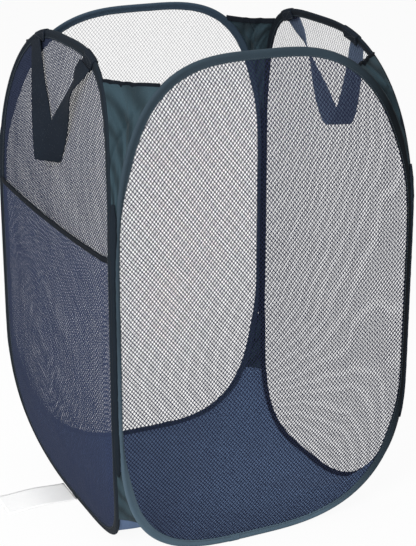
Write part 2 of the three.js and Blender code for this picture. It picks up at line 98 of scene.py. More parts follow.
# Corners: bow is how far a cloth's middle stands inward, crease the size of its folds
GUSSET_THICKNESS = 0.0008
UPPER_GUSSET_TOP = 0.585
UPPER_GUSSET_APEX = 0.446
UPPER_GUSSET_BOW = 0.003
UPPER_GUSSET_SAG = 0.0015
UPPER_GUSSET_CREASE = 0.0046
LOWER_GUSSET_EDGE = 0.066
LOWER_GUSSET_APEX = 0.142
LOWER_GUSSET_BOW = 0.0015
LOWER_GUSSET_CREASE = 0.0007
# Lines of the creases: their slope across the cloth, place and reach
CREASE_LINES = ((.55, 1.02, .045), (.62, 1.19, .030), (.50, .86, .040), (.70, 1.38, .035),
                (-.45, .45, .05))
EDGING_WIDTH = 0.007
EDGING_THICKNESS = 0.0022
WELT_BOTTOM = 0.136
WELT_TOP = 0.462
WELT_CRINKLE = 0.0003
WELT_GROOVE = 0.0022
WELT_SECTION = [(-.0029, .0002), (-.0018, -.0008), (0, -.0011), (.0018, -.0008), (.0029, .0002),
                (.0024, .0009), (.0011, .0020), (0, .0034), (-.0011, .0020), (-.0024, .0009)]

# Base
BASE_THICKNESS = 0.0009
BASE_CREASE = 0.004
BASE_LIFT = 0.0006
BASE_TURN_UP = 0.005

# Straps and the box of stitches on their wraps
STRAP_SPACING = 0.162
STRAP_TOP_DROP = 0.0105
STRAP_STAND = 0.0036
# How each strap hangs: place of its bottom across the side, its height, how far it stands
# off, how many degrees it is turned there and, the other way, up its shorter leg, and how
# round its bottom is
STRAP_HANG = {"left": (.024, .472, .008, 58, 28, .05), "right": (.015, .463, .012, 48, 30, .40)}
WEBBING_WIDTH = 0.030
WEBBING_THICKNESS = 0.0015
WRAP_DEPTH = 0.0135
WRAP_THICKNESS = 0.0010
WRAP_BEAD = 0.0028
WRAP_STITCH = (.0019, .0005, .0003)
WRAP_STITCH_PITCH = 0.0026
WRAP_STITCH_BOX = [(-.0115, .0035), (.0115, .0035), (.0115, .0125), (-.0115, .0125),
                   (-.0115, .0035), (.0115, .0125)]

# Pocket and label
POCKET_TOP = 0.400
POCKET_SAG = 0.003
POCKET_BULGE = 0.014
POCKET_HEM = 0.0084
POCKET_BAND = 0.007
POCKET_BAND_THICKNESS = 0.0024
LABEL_LENGTH = 0.092
LABEL_WIDTH = 0.050
LABEL_OFFSET = 0.046
LABEL_THICKNESS = 0.0005
LABEL_WAVE = 0.0022
LABEL_CURL = 0.0012
LABEL_CURL_START = 0.75

# Each side is drawn as the front one and turned: cosine and sine of its turn
TURNS = {"front": (1, 0), "right": (0, 1), "back": (-1, 0), "left": (0, -1)}
BODIES = {"front": "front", "right": "right_side", "back": "back_side", "left": "left_side"}
FACES = (("outer", -1), ("inner", 1))
CORNERS = {"front_left": (1, 0), "front_right": (0, 1), "back_right": (-1, 0), "back_left": (0, -1)}
SEAM_BODIES = {"front_left": ("front", "left_side"), "front_right": ("front", "right_side"),
               "back_left": ("left_side", "back_side")}
# The ring of joints is open at the back right: half of the cloth, body and joint
OPEN_SEAM = (("back", "back_side", "back_fold"), ("side", "right_side", "right_fold"))


# ---- shapes of the loops ----

def end_shares(z):
    """How far a height is into a loop's rounded top and foot, from 0 to 1 at its ends."""
    return np.clip(z - TOP_START, 0, None) / TOP_RISE, np.clip(FOOT_RISE - z, 0, None) / FOOT_RISE


def lean(z):
    above, below = end_shares(z)
    return TOP_LEAN * above ** LEAN_POWER + FOOT_LEAN * below ** LEAN_POWER


def arc_share(share):
    return (1 - np.clip(share, 0, 1) ** ARC_POWER) ** (1 / ARC_POWER)


def loop_half(z):
    return FLAT_HALF + ARC_REACH * arc_share(np.maximum(*end_shares(z)))


def arc_at(u):
    return arc_share(np.clip(np.abs(u) - FLAT_HALF, 0, None) / ARC_REACH)


def foot_height(u):
    return FOOT_RISE * (1 - arc_at(u))


def crown_height(u):
    return TOP_START + TOP_RISE * arc_at(u)


def turned(points, turn):
    c, s = turn
    x, y = points[..., 0], points[..., 1]
    return np.stack([c * x - s * y, s * x + c * y, points[..., 2]], axis=-1)


def on_panel(side, u, z, w):
    """Points of a side: u across, z up, w inward from the middle of its thickness."""
    u, z, w = np.broadcast_arrays(u, z, w)
    return turned(np.stack([u, -HALF_SPAN + lean(z) + w, z], axis=-1), TURNS[side])


def loop_path(count):
    """Even points along a loop's outer edge from the middle of its foot, with inward
    directions and the distance run."""
    angle = np.linspace(0, math.pi / 2, 2000)
    out, up = np.sin(angle) ** (2 / ARC_POWER), np.cos(angle) ** (2 / ARC_POWER)
    u = np.r_[0, FLAT_HALF + ARC_REACH * out, FLAT_HALF + ARC_REACH * up]
    z = np.r_[0, FOOT_RISE * (1 - up), TOP_START + TOP_RISE * out]
    u, z = np.r_[u, -u[::-1]], np.r_[z, z[::-1]]
    run = np.r_[0, np.cumsum(np.sqrt(np.diff(u) ** 2 + np.diff(z) ** 2 + np.diff(lean(z)) ** 2))]
    even = np.arange(count) / count * run[-1]
    u, z = np.interp(even, run, u), np.interp(even, run, z)
    du, dz = np.roll(u, -1) - np.roll(u, 1), np.roll(z, -1) - np.roll(z, 1)
    size = np.hypot(du, dz)
    return u, z, -dz / size, du / size, np.r_[even, run[-1]]


def inset_half(z, inset):
    """Half width, at height z, of a loop's outline moved inward."""
    count = 1200
    u, up, nu, nz, run = loop_path(count)
    right = slice(count // 2 + 1)
    return np.interp(z, (up + nz * inset)[right], (u + nu * inset)[right], left=-1, right=-1)


def eased(share):
    share = np.clip(share, 0, 1)
    return 3 * share ** 2 - 2 * share ** 3


def drawn_in(side, u, z):
    """How far a tape is drawn into its corner seam, from 0 to 1. The left tape's rear upright
    is spread instead, down to WIDE_SEAM."""
    drawn = eased((z - SEAM_FOOT) / SEAM_EASE) * eased((SEAM_CROWN - z) / SEAM_EASE)
    return drawn * np.where((u < 0) & (side == "left"), WIDE_SEAM, 1)


def tape_inset(inset, side, u, z):
    """Distance of a line on a tape from the tape's edge, less where it is drawn in."""
    flange = np.clip(inset - FLANGE_START, 0, None)
    return inset - flange * FLANGE_DRAWN * drawn_in(side, u, z)


# ---- meshes ----

def shaped(name, points, faces, uv, finish):
    """Mesh object from points, four-cornered faces and a place on the cloth for each corner."""
    mesh = bpy.data.meshes.new(name)
    mesh.vertices.add(len(points))
    mesh.vertices.foreach_set("co", np.ascontiguousarray(points, np.float32).ravel())
    mesh.loops.add(faces.size)
    mesh.loops.foreach_set("vertex_index", np.ascontiguousarray(faces, np.int32).ravel())
    mesh.polygons.add(len(faces))
    mesh.polygons.foreach_set("loop_start", np.arange(0, faces.size, faces.shape[1], dtype=np.int32))
    mesh.update(calc_edges=True)
    mesh.uv_layers.new(name="cloth").data.foreach_set("uv", np.ascontiguousarray(uv, np.float32).ravel())
    mesh.polygons.foreach_set("use_smooth", np.ones(len(faces), bool))
    mesh.materials.append(finish)
    piece = bpy.data.objects.new(name, mesh)
    bpy.context.scene.collection.objects.link(piece)
    return piece


def swept(name, rings, along, around, finish, closed_along=False, capped=False):
    """Surface through rings of points, each closed, and closed along them too where asked.
    along and around are distances on the cloth, with one more value where that way is closed."""
    rows, columns = rings.shape[:2]
    r = np.arange(rows if closed_along else rows - 1)
    r, c = np.meshgrid(r, np.arange(columns), indexing="ij")
    r, c = r.ravel(), c.ravel()
    steps = [(0, 0), (0, 1), (1, 1), (1, 0)]
    faces = np.stack([(r + a) % rows * columns + (c + b) % columns for a, b in steps], axis=1)
    uv = np.stack([np.stack([along[r + a], around[c + b]], axis=1) for a, b in steps], axis=1)
    if capped:
        half = columns // 2
        k = np.arange(half - 1)
        ends = np.stack([k, columns - 1 - k, columns - 2 - k, k + 1], axis=1)
        last = (rows - 1) * columns + ends[:, ::-1]
        faces = np.concatenate([faces, ends, last])
        flat = np.stack([around[k], around[k], around[k + 1], around[k + 1]], axis=1)
        for row, order in ((0, slice(None)), (rows - 1, slice(None, None, -1))):
            value = flat[:, order]
            uv = np.concatenate([uv, np.stack([np.full_like(value, along[row]), value], axis=2)])
    return shaped(name, rings.reshape(-1, 3), faces, uv, finish)


def unit(vectors):
    return vectors / np.maximum(np.linalg.norm(vectors, axis=-1, keepdims=True), 1e-12)


def facing(grid):
    """Directions square to a grid of points."""
    along = np.gradient(grid, axis=0)
    across = np.gradient(grid, axis=1)
    return unit(np.cross(across, along))


def cloth(name, grid, thickness, along, across, finish):
    """A grid of points given the thickness of cloth, closed all round."""
    lift = facing(grid) * thickness / 2
    rings = np.concatenate([grid + lift, (grid - lift)[:, ::-1]], axis=1)
    around = np.r_[across, across[::-1], across[0]]
    return swept(name, rings, along, around, finish, capped=True)


def ribbon(name, path, width_way, section, finish, square=True, scale=None):
    """A closed section of (width, thickness) pairs carried along a path, square to it or
    not, and larger or smaller from place to place where scale is given."""
    ahead = unit(np.gradient(path, axis=0))
    if square:
        width_way = width_way - ahead * (width_way * ahead).sum(1, keepdims=True)
    width_way = unit(width_way)
    thick_way = unit(np.cross(ahead, width_way))
    section = np.array(section)
    sections = section * (np.ones(len(path)) if scale is None else scale)[:, None, None]
    rings = (path[:, None] + sections[..., :1] * width_way[:, None]
             + sections[..., 1:] * thick_way[:, None])
    run = np.r_[0, np.cumsum(np.linalg.norm(np.diff(path, axis=0), axis=1))]
    round_run = np.cumsum(np.r_[0, np.linalg.norm(np.roll(section, -1, 0) - section, axis=1)])
    return swept(name, rings, run, round_run, finish, capped=True)


def flat_section(width, thickness):
    """Section of a band with rounded edges, from one edge round to the other."""
    half, radius = width / 2, thickness / 2
    angle = np.linspace(-math.pi / 2, math.pi / 2, 7)
    right = np.stack([half - radius + radius * np.cos(angle), radius * np.sin(angle)], axis=1)
    between = np.linspace(half - radius, -half + radius, 7)[1:-1]
    top = np.stack([between, np.full_like(between, radius)], axis=1)
    section = np.concatenate([right, top])
    return np.concatenate([section, -section])


def stitched(name, side, sign, middles, ways, size, finish):
    """A row of short thread stitches on one face of a side, each a small rounded bar of the
    given length, width and height."""
    lifts = np.broadcast_to(turned(np.array([[0.0, sign, 0.0]]), TURNS[side]), middles.shape)
    ways = unit(ways)
    sides = np.cross(ways, lifts)
    length, width, height = size
    corners = [(-.5, -.25, 0), (-.5, .25, 0), (-.3, .5, .8), (-.3, -.5, .8),
               (.3, -.5, .8), (.3, .5, .8), (.5, .25, 0), (.5, -.25, 0)]
    points = np.stack([middles + ways * a * length + sides * b * width + lifts * h * height
                       for a, b, h in corners], axis=1)
    quads = np.array([[0, 1, 2, 3], [3, 2, 5, 4], [4, 5, 6, 7], [0, 3, 4, 7], [1, 6, 5, 2]])
    faces = (np.arange(len(middles))[:, None, None] * 8 + quads).reshape(-1, 4)
    local = np.array([(a * length, b * width) for a, b, h in corners])
    uv = np.tile(local[quads].reshape(-1, 2), (len(middles), 1))
    return shaped(name, points.reshape(-1, 3), faces, uv, finish)


def wavy(distance, pitch, seed):
    """A smooth uneven wave between -1 and 1, the same in every run."""
    d = distance * 2 * math.pi / pitch
    return (np.sin(d + seed) + .6 * np.sin(1.83 * d + 2.1 * seed + 1)
            + .4 * np.sin(3.37 * d + 4.7 * seed + 2)) / 2


# ---- finishes ----

def new_group(name, outputs, **inputs):
    """A shader node group with named outputs, and named inputs at their usual values."""
    group = bpy.data.node_groups.new(name, "ShaderNodeTree")
    for label, value in inputs.items():
        kind = "Vector" if value is None else "Color" if isinstance(value, tuple) else "Float"
        socket = group.interface.new_socket(name=label, in_out="INPUT", socket_type="NodeSocket" + kind)
        if value is not None:
            socket.default_value = value
    for label, kind in outputs.items():
        group.interface.new_socket(name=label, in_out="OUTPUT", socket_type="NodeSocket" + kind)
    return group, group.nodes.new("NodeGroupInput").outputs, group.nodes.new("NodeGroupOutput").inputs


def feed(tree, socket, value):
    if isinstance(value, bpy.types.NodeSocket):
        tree.links.new(value, socket)
    else:
        socket.default_value = value


def calc(tree, operation, *values):
    node = tree.nodes.new("ShaderNodeMath")
    node.operation = operation
    for socket, value in zip(node.inputs, values):
        feed(tree, socket, value)
    return node.outputs[0]


def split(tree, vector):
    node = tree.nodes.new("ShaderNodeSeparateXYZ")
    feed(tree, node.inputs[0], vector)
    return node.outputs


def cloudy(tree, vector, scale, detail):
    node = tree.nodes.new("ShaderNodeTexNoise")
    feed(tree, node.inputs["Vector"], vector)
    feed(tree, node.inputs["Scale"], scale)
    node.inputs["Detail"].default_value = detail
    return node.outputs["Fac"]


def scaled_colour(tree, colour, level):
    node = tree.nodes.new("ShaderNodeVectorMath")
    node.operation = "SCALE"
    feed(tree, node.inputs[0], colour)
    feed(tree, node.inputs["Scale"], level)
    return node.outputs[0]


def mixed_colour(tree, share, colour, other):
    """A colour, and another one laid over it by a share from 0 to 1."""
    node = tree.nodes.new("ShaderNodeMix")
    node.data_type = "RGBA"
    feed(tree, node.inputs["Factor"], share)
    feed(tree, node.inputs[6], colour)
    node.inputs[7].default_value = (*other, 1)
    return node.outputs[2]


def within(tree, value):
    """A value kept from 0 to 1."""
    return calc(tree, "MINIMUM", calc(tree, "MAXIMUM", value, 0), 1)


def nearness(tree, value, line, reach):
    """1 on a line, down to 0 at the reach from it."""
    away = calc(tree, "DIVIDE", calc(tree, "ABSOLUTE", calc(tree, "SUBTRACT", value, line)), reach)
    return calc(tree, "SUBTRACT", 1, calc(tree, "MINIMUM", away, 1))


def ripple(tree, distance, pitch, kind="SINE", turn=2 * math.pi):
    """A wave along a distance, with one turn in each pitch."""
    return calc(tree, kind, calc(tree, "MULTIPLY", distance, calc(tree, "DIVIDE", turn, pitch)))


def plain_weave():
    """Over and under of a plain weave: Height from 0 to 1."""
    tree, ins, outs = new_group("plain weave", {"Height": "Float"}, Cloth=None, Thread=.0005)
    x, y = split(tree, ins["Cloth"])[:2]
    both = calc(tree, "MULTIPLY", ripple(tree, x, ins["Thread"]), ripple(tree, y, ins["Thread"]))
    feed(tree, outs["Height"], calc(tree, "MULTIPLY_ADD", both, .5, .5))
    return tree


def ribbed_weave():
    """Ribs along a webbing or tape with fine threads across them: Height from 0 to 1."""
    tree, ins, outs = new_group("ribbed weave", {"Height": "Float"}, Cloth=None, Rib=.0012, Thread=.0006)
    x, y = split(tree, ins["Cloth"])[:2]
    rib = calc(tree, "ABSOLUTE", ripple(tree, y, ins["Rib"], turn=math.pi))
    shift = calc(tree, "MULTIPLY", calc(tree, "FLOOR", calc(tree, "DIVIDE", y, ins["Rib"])), math.pi)
    along = calc(tree, "MULTIPLY", x, calc(tree, "DIVIDE", 2 * math.pi, ins["Thread"]))
    thread = calc(tree, "SINE", calc(tree, "ADD", along, shift))
    thread = calc(tree, "MULTIPLY_ADD", thread, .25, .75)
    feed(tree, outs["Height"], calc(tree, "MULTIPLY", rib, thread))
    return tree


def twisted_thread():
    """Slanting strands of a twisted or knitted thread: Height from 0 to 1."""
    tree, ins, outs = new_group("twisted thread", {"Height": "Float"}, Cloth=None, Strand=.0004)
    x, y = split(tree, ins["Cloth"])[:2]
    slant = .7
    strands = ripple(tree, calc(tree, "MULTIPLY_ADD", y, slant, x), ins["Strand"])
    feed(tree, outs["Height"], calc(tree, "MULTIPLY_ADD", strands, .5, .5))
    return tree


def dye_and_hollow_shade():
    """Colour and roughness of cloth: uneven dye, painted shade between the threads, lint."""
    tree, ins, outs = new_group("dye and hollow shade", {"Colour": "Color", "Roughness": "Float"}, Cloth=None,
                                Dye=(.1, .1, .1, 1), Height=.5, Patch=.06, Uneven=.12, Between=.25,
                                Lint=.1, Dullness=.8)
    patch = cloudy(tree, ins["Cloth"], calc(tree, "DIVIDE", 1, ins["Patch"]), 3)
    patch = calc(tree, "SUBTRACT", patch, .5)
    change = calc(tree, "MULTIPLY", patch, calc(tree, "MULTIPLY", ins["Uneven"], 2))
    # Painted shade where the weave is low, between the threads
    depth = calc(tree, "MULTIPLY", calc(tree, "SUBTRACT", 1, ins["Height"]), ins["Between"])
    level = calc(tree, "SUBTRACT", calc(tree, "ADD", 1, change), depth)
    specks_a_metre, speck_from, lint_colour = 900, .72, (.5, .52, .55)
    speck = calc(tree, "GREATER_THAN", cloudy(tree, ins["Cloth"], specks_a_metre, 1), speck_from)
    speck = calc(tree, "MULTIPLY", speck, ins["Lint"])
    dye = scaled_colour(tree, ins["Dye"], level)
    feed(tree, outs["Colour"], mixed_colour(tree, speck, dye, lint_colour))
    patch_gloss = .2
    feed(tree, outs["Roughness"], calc(tree, "MULTIPLY_ADD", patch, patch_gloss, ins["Dullness"]))
    return tree


def stitch_dimples():
    """Dents that a row of stitches pulls into a tape: Height from 0 to 1."""
    tree, ins, outs = new_group("stitch dimples", {"Height": "Float"}, Cloth=None, Pitch=.0034,
                                Line=.003, Reach=.0018)
    x, y = split(tree, ins["Cloth"])[:2]
    stitch = calc(tree, "MULTIPLY_ADD", ripple(tree, x, ins["Pitch"], "COSINE"), .5, .5)
    dent = calc(tree, "MULTIPLY", nearness(tree, y, ins["Line"], ins["Reach"]), stitch)
    feed(tree, outs["Height"], calc(tree, "SUBTRACT", 1, dent))
    return tree


def rubbed_edge():
    """Where an edge is rubbed paler: Mask from 0 to 1."""
    tree, ins, outs = new_group("rubbed edge", {"Mask": "Float"}, Cloth=None, Line=.01, Reach=.002)
    y = split(tree, ins["Cloth"])[1]
    patches_a_metre = 120
    patch = cloudy(tree, ins["Cloth"], patches_a_metre, 3)
    feed(tree, outs["Mask"], calc(tree, "MULTIPLY", nearness(tree, y, ins["Line"], ins["Reach"]), patch))
    return tree


def painted_fold_shade():
    """Painted shade along slanting folds of a cloth: Mask from 0 to 1."""
    tree, ins, outs = new_group("painted fold shade", {"Mask": "Float"}, Cloth=None, Pitch=.03, Slant=.6)
    x, y = split(tree, ins["Cloth"])[:2]
    bends_a_metre, bend_size, sharpness = 28, .022, 3
    line = calc(tree, "MULTIPLY_ADD", y, ins["Slant"], x)
    bend = calc(tree, "MULTIPLY", cloudy(tree, ins["Cloth"], bends_a_metre, 1), bend_size)
    fold = calc(tree, "ABSOLUTE", ripple(tree, calc(tree, "ADD", line, bend), ins["Pitch"], turn=math.pi))
    feed(tree, outs["Mask"], calc(tree, "POWER", fold, sharpness))
    return tree


def painted_tape_light_and_shade():
    """Painted light and shade of a loop's tape: painted light along the foot and painted shade up one of
    its uprights, which starts at Start and is full at Start + Reach: Level of its colour."""
    tree, ins, outs = new_group("painted tape light and shade", {"Level": "Float"}, Place=None, Start=.09, Reach=.07,
                                Upright=0, Foot=0)
    x, y, z = split(tree, ins["Place"])[:3]
    foot_end, foot_ease, foot_rise = .05, .12, -3.2
    side = within(tree, calc(tree, "DIVIDE", calc(tree, "SUBTRACT", x, ins["Start"]), ins["Reach"]))
    raised = within(tree, calc(tree, "DIVIDE", calc(tree, "SUBTRACT", z, foot_end), foot_ease))
    # Painted shade up the upright, above the foot
    dark = calc(tree, "MULTIPLY", calc(tree, "MULTIPLY", side, raised), ins["Upright"])
    # Painted light along the foot, away from the shaded upright
    low = calc(tree, "MAXIMUM", calc(tree, "MULTIPLY_ADD", z, foot_rise, 1), 0)
    low = calc(tree, "MULTIPLY", low, calc(tree, "SUBTRACT", 1, side))
    pale = calc(tree, "MULTIPLY_ADD", low, ins["Foot"], 1)
    feed(tree, outs["Level"], calc(tree, "MULTIPLY", calc(tree, "SUBTRACT", 1, dark), pale))
    return tree


GROUPS = {make.__name__: make() for make in
          (plain_weave, ribbed_weave, twisted_thread, dye_and_hollow_shade, stitch_dimples, rubbed_edge,
           painted_fold_shade, painted_tape_light_and_shade)}


def placed(tree, name, **values):
    node = tree.nodes.new("ShaderNodeGroup")
    node.node_tree = GROUPS[name]
    for label, value in values.items():
        feed(tree, node.inputs[label], value)
    return node.outputs


def bumped(tree, height, distance, under=None):
    node = tree.nodes.new("ShaderNodeBump")
    node.inputs["Strength"].default_value = 1
    node.inputs["Distance"].default_value = distance
    feed(tree, node.inputs["Height"], height)
    if under is not None:
        feed(tree, node.inputs["Normal"], under)
    return node.outputs["Normal"]


def start_material(name):
    material = bpy.data.materials.new(name)
    material.use_nodes = True
    tree = material.node_tree
    place = tree.nodes.new("ShaderNodeTexCoord").outputs
    return material, tree, tree.nodes["Principled BSDF"].inputs, place


def fill_shader(tree, shader, colour, roughness, normal, sheen=0.0, specular=.5):
    feed(tree, shader["Base Color"], colour)
    feed(tree, shader["Roughness"], roughness)
    feed(tree, shader["Normal"], normal)
    shader["Sheen Weight"].default_value = sheen
    shader["Specular IOR Level"].default_value = specular


def yarn_material(name, dye, weave, sizes, lift, sheen=0.0, specular=.5, folded=0.0, **look):
    """Finish of dyed yarn: weave and sizes say how it is made up, lift how far that stands out, folded
    how dark the painted shade along its folds is, and look how it is dyed, with painted shade between its
    threads."""
    material, tree, shader, place = start_material(name)
    height = placed(tree, weave, Cloth=place["UV"], **sizes)["Height"]
    # Dye and lint, with painted shade between the threads
    dyed = placed(tree, "dye_and_hollow_shade", Cloth=place["UV"], Dye=(*dye, 1), Height=height, **look)
    colour = dyed["Colour"]
    # Painted shade along the cloth's slanting folds
    if folded:
        folds = placed(tree, "painted_fold_shade", Cloth=place["UV"])["Mask"]
        colour = scaled_colour(tree, colour, calc(tree, "MULTIPLY_ADD", folds, -folded, 1))
    fill_shader(tree, shader, colour, dyed["Roughness"], bumped(tree, height, lift), sheen, specular)
    return material


def woven_material(name, dye, thread=.0006, lift=.0001, sheen=.03, **look):
    return yarn_material(name, dye, "plain_weave", {"Thread": thread}, lift, sheen, .14, **look)


def net_material(name, dye):
    return yarn_material(name, dye, "twisted_thread", {"Strand": .00045}, .00005, specular=.1,
                         Patch=.09, Uneven=.1, Between=.2, Lint=0.0, Dullness=.7)


def webbing_material(name, dye, rib, thread, lint=.12):
    return yarn_material(name, dye, "ribbed_weave", {"Rib": rib, "Thread": thread}, .00015, .01, .06,
                         Patch=.03, Uneven=.15, Between=.4, Lint=lint)


def thread_material(name, dye):
    return yarn_material(name, dye, "twisted_thread", {"Strand": .0003}, .00004, Patch=.002,
                         Uneven=.1, Between=.35, Lint=0.0, Dullness=.6)


def tape_material(name, dye, rubbed, darker=0.0, paler=0.0, way=1):
    """Finish of the binding tape: rubbed at the fold, with painted shade up the upright on the right, or
    on the left where way is -1, and painted light along the foot."""
    material, tree, shader, place = start_material(name)
    flat = place["UV"]
    height = placed(tree, "plain_weave", Cloth=flat, Thread=.00055)["Height"]
    look = placed(tree, "dye_and_hollow_shade", Cloth=flat, Dye=(*dye, 1), Height=height,
                  Patch=.05, Uneven=.13, Between=.22, Lint=.06, Dullness=.74)
    rub = placed(tree, "rubbed_edge", Cloth=flat, Line=.0125, Reach=.0035)["Mask"]
    rub_strength, fine_lift, dent_lift = .35, .00008, .0003
    colour = mixed_colour(tree, calc(tree, "MULTIPLY", rub, rub_strength), look["Colour"], rubbed)
    # Painted shade up one upright and painted light along the foot
    tape_light_and_shade = placed(tree, "painted_tape_light_and_shade", Place=place["Object"], Start=.09 * way, Reach=.07 * way,
                    Upright=darker, Foot=paler)["Level"]
    dents = placed(tree, "stitch_dimples", Cloth=flat, Pitch=.0034, Line=.0022, Reach=.0018)["Height"]
    normal = bumped(tree, dents, dent_lift, under=bumped(tree, height, fine_lift))
    fill_shader(tree, shader, scaled_colour(tree, colour, tape_light_and_shade), look["Roughness"], normal, .01, .08)
    return material


def steel_material():
    material, tree, shader, place = start_material("drawn spring wire")
    lines_a_metre, lift = 400, .00002
    drawn = cloudy(tree, place["Object"], lines_a_metre, 2)
    look = placed(tree, "dye_and_hollow_shade", Cloth=place["Object"], Dye=(.52, .53, .55, 1), Height=drawn,
                  Patch=.02, Between=.15, Lint=0.0, Dullness=.34)
    fill_shader(tree, shader, look["Colour"], look["Roughness"], bumped(tree, drawn, lift))
    shader["Metallic"].default_value = 1
    return material


# One binding tape on every loop, in three copies: the back loop's paler copy is painted light and the
# side loops' darker copy is painted shade. darker is painted shade up an upright and paler is painted
# light along the foot.
TAPE = tape_material("binding tape", (.032, .050, .066), (.070, .100, .125), .88, 1.9)
LIT_BACK_TAPE = tape_material("binding tape, painted light", (.040, .064, .094), (.070, .108, .138), .85, way=-1)
SHADED_SIDE_TAPE = tape_material("binding tape, painted shade", (.009, .014, .021), (.024, .036, .047), .2)
NET = net_material("knitted net", (.026, .034, .066))
POCKET_NET = net_material("pocket net", (.034, .050, .110))
FRONT_NET = net_material("knitted net, darkest", (.014, .018, .046))
FAR_NET = net_material("knitted net, darker", (.034, .040, .082))
# folded is painted shade along the gusset's folds
GUSSET = woven_material("gusset cloth", (.031, .058, .074), folded=.48, Patch=.035, Uneven=.30)
BASE = woven_material("base cloth", (.150, .228, .385), Patch=.08)
WEBBING = webbing_material("strap webbing", (.0115, .0165, .025), .0014, .0007)
# A paler copy of the strap webbing, for the right strap: painted light
LIT_WEBBING = webbing_material("strap webbing, painted light", (.150, .205, .300), .0014, .0007)
WELT = webbing_material("rolled welt", (.012, .018, .026), .0009, .0011, lint=.05)
TRIM = webbing_material("elastic edging", (.008, .011, .016), .0009, .0011, lint=.05)
THREAD = thread_material("sewing thread", (.050, .074, .096))
DARK_THREAD = thread_material("dark sewing thread", (.030, .036, .046))
LABEL = woven_material("label ribbon", (.99, .99, .98), .0003, .00003, .1, Patch=.02, Uneven=.02,
                       Between=.05, Lint=0.0, Dullness=.55)
STEEL = steel_material()


# ---- side panels ----

def net_lattice(name, side, inside, stand, cord, stretch, seed, finish, knotted=True):
    """A knitted net of slanting cords that cross in staggered rows. inside(u, z) says where it
    is, and stand(u, z) how far inward from the panel's middle. A fine net has flat cords and
    no knots."""
    a, b = MESH_ACROSS / 2 * stretch[0], MESH_UP / 2 * stretch[1]
    reach = .2
    half_count = int(reach / a)
    i = np.arange(-half_count, half_count + 1)
    j = np.arange(0, int(HEIGHT / b) + 1)
    i, j = np.meshgrid(i, j, indexing="ij")
    u, z = i * a, j * b
    u = u + NET_LOOSENESS * (wavy(z, .16, seed) + .7 * wavy(u, .11, seed + 2))
    z = z + NET_LOOSENESS * (wavy(u, .19, seed + 1) + .7 * wavy(z, .13, seed + 3))
    used = inside(u, z) & ((i + j) % 2 == 0)

    def cords(slope):
        if slope > 0:
            near, far = (slice(None, -1), slice(None, -1)), (slice(1, None), slice(1, None))
        else:
            near, far = (slice(None, -1), slice(1, None)), (slice(1, None), slice(None, -1))
        both = used[near] & used[far]
        return [np.stack([u[s][both], z[s][both]], axis=1) for s in (near, far)]

    pairs = [cords(1), cords(-1)]
    first = np.concatenate([p[0] for p in pairs])
    second = np.concatenate([p[1] for p in pairs])
    way = second - first
    aside = np.stack([-way[:, 1], way[:, 0]], axis=1)
    aside *= cord / 2 / np.linalg.norm(aside, axis=1, keepdims=True)
    if not knotted:
        flat = np.stack([first + aside, second + aside, second - aside, first - aside], axis=1)
        flat = flat.reshape(-1, 2)
        points = on_panel(side, flat[:, 0], flat[:, 1], stand(*flat.T))
        faces = np.arange(len(flat)).reshape(-1, 4)
        return shaped(name, points, faces, flat[faces], finish)
    valley = cord * CORD_FLATNESS / 2
    ridge = -valley
    flat = np.stack([first + aside, second + aside, first, second, first - aside, second - aside],
                    axis=1)
    deep = np.broadcast_to([valley, valley, ridge, ridge, valley, valley], flat.shape[:2])
    cord_faces = np.arange(len(flat))[:, None, None] * 6 + np.array([[0, 1, 3, 2], [2, 3, 5, 4]])
    knot = np.stack([u[used], z[used]], axis=1)
    knot_across, knot_up, knot_rise = 1.1, 1.5, 1.15
    reach = np.array([[knot_across, 0], [0, knot_up], [-knot_across, 0], [0, -knot_up]]) * cord
    knots = knot[:, None] + reach
    knot_faces = len(flat) * 6 + np.arange(len(knots))[:, None] * 4 + np.array([0, 1, 2, 3])
    cloth_at = np.concatenate([flat.reshape(-1, 2), knots.reshape(-1, 2)])
    depth = np.concatenate([deep.ravel(), np.full(len(knots) * 4, ridge * knot_rise)])
    faces = np.concatenate([cord_faces.reshape(-1, 4), knot_faces])
    points = on_panel(side, cloth_at[:, 0], cloth_at[:, 1], stand(*cloth_at.T) + depth)
    return shaped(name, points, faces, cloth_at[faces], finish)


def panel_net(side, seed):
    """Net of one side, its hem in the tape and a little slack in its middle."""
    tucked, end_reach, wave_pitch = .0022, .1, .3

    def inside(u, z):
        return np.abs(u) < inset_half(z, NET_HEM) + tucked * drawn_in(side, u, z)

    def stand(u, z):
        room = np.clip(1 - (np.abs(u) / np.maximum(loop_half(z), .01)) ** 2, 0, 1)
        room = room * np.clip(np.minimum(z, HEIGHT - z) / end_reach, 0, 1)
        return -NET_SLACK * room * (1 + .5 * wavy(u + 2 * z, wave_pitch, seed))

    finish = {"front": FRONT_NET, "left": NET}.get(side, FAR_NET)
    cord = CORD_WIDTH[side]
    piece = net_lattice(f"{side}_knitted_net", side, inside, stand, cord, (1, 1), seed, finish)
    dress(piece, BODIES[side], "net", f"{side}_net_panel")


def tape_rings(u, z, nu, nz, run, side, swell, seed):
    """Sections of the tape along a loop, slightly uneven and twisted, and thicker by swell."""
    uneven, uneven_pitch, twist, twist_pitch = .00012, .045, .00018, .07
    section = np.array(TAPE_SECTION)
    section = np.concatenate([section, (section * [1, -1])[-2::-1]])
    inset, w = section[:, 0], section[:, 1] * swell
    inset = inset + (swell - 1) * .4 * (inset - .004)
    pull = uneven * wavy(run[:, None], uneven_pitch, seed) * (inset / TAPE_WIDTH)
    inset = tape_inset(inset[None], side, u[:, None], z[:, None]) + pull
    w = w[None] + twist * wavy(run[:, None], twist_pitch, seed + 5) * (inset / TAPE_WIDTH)
    points = on_panel(side, u[:, None] + nu[:, None] * inset, z[:, None] + nz[:, None] * inset, w)
    width = np.r_[0, np.cumsum(np.linalg.norm(np.diff(section, axis=0), axis=1))]
    return points, np.r_[width, width[-1] + .001]


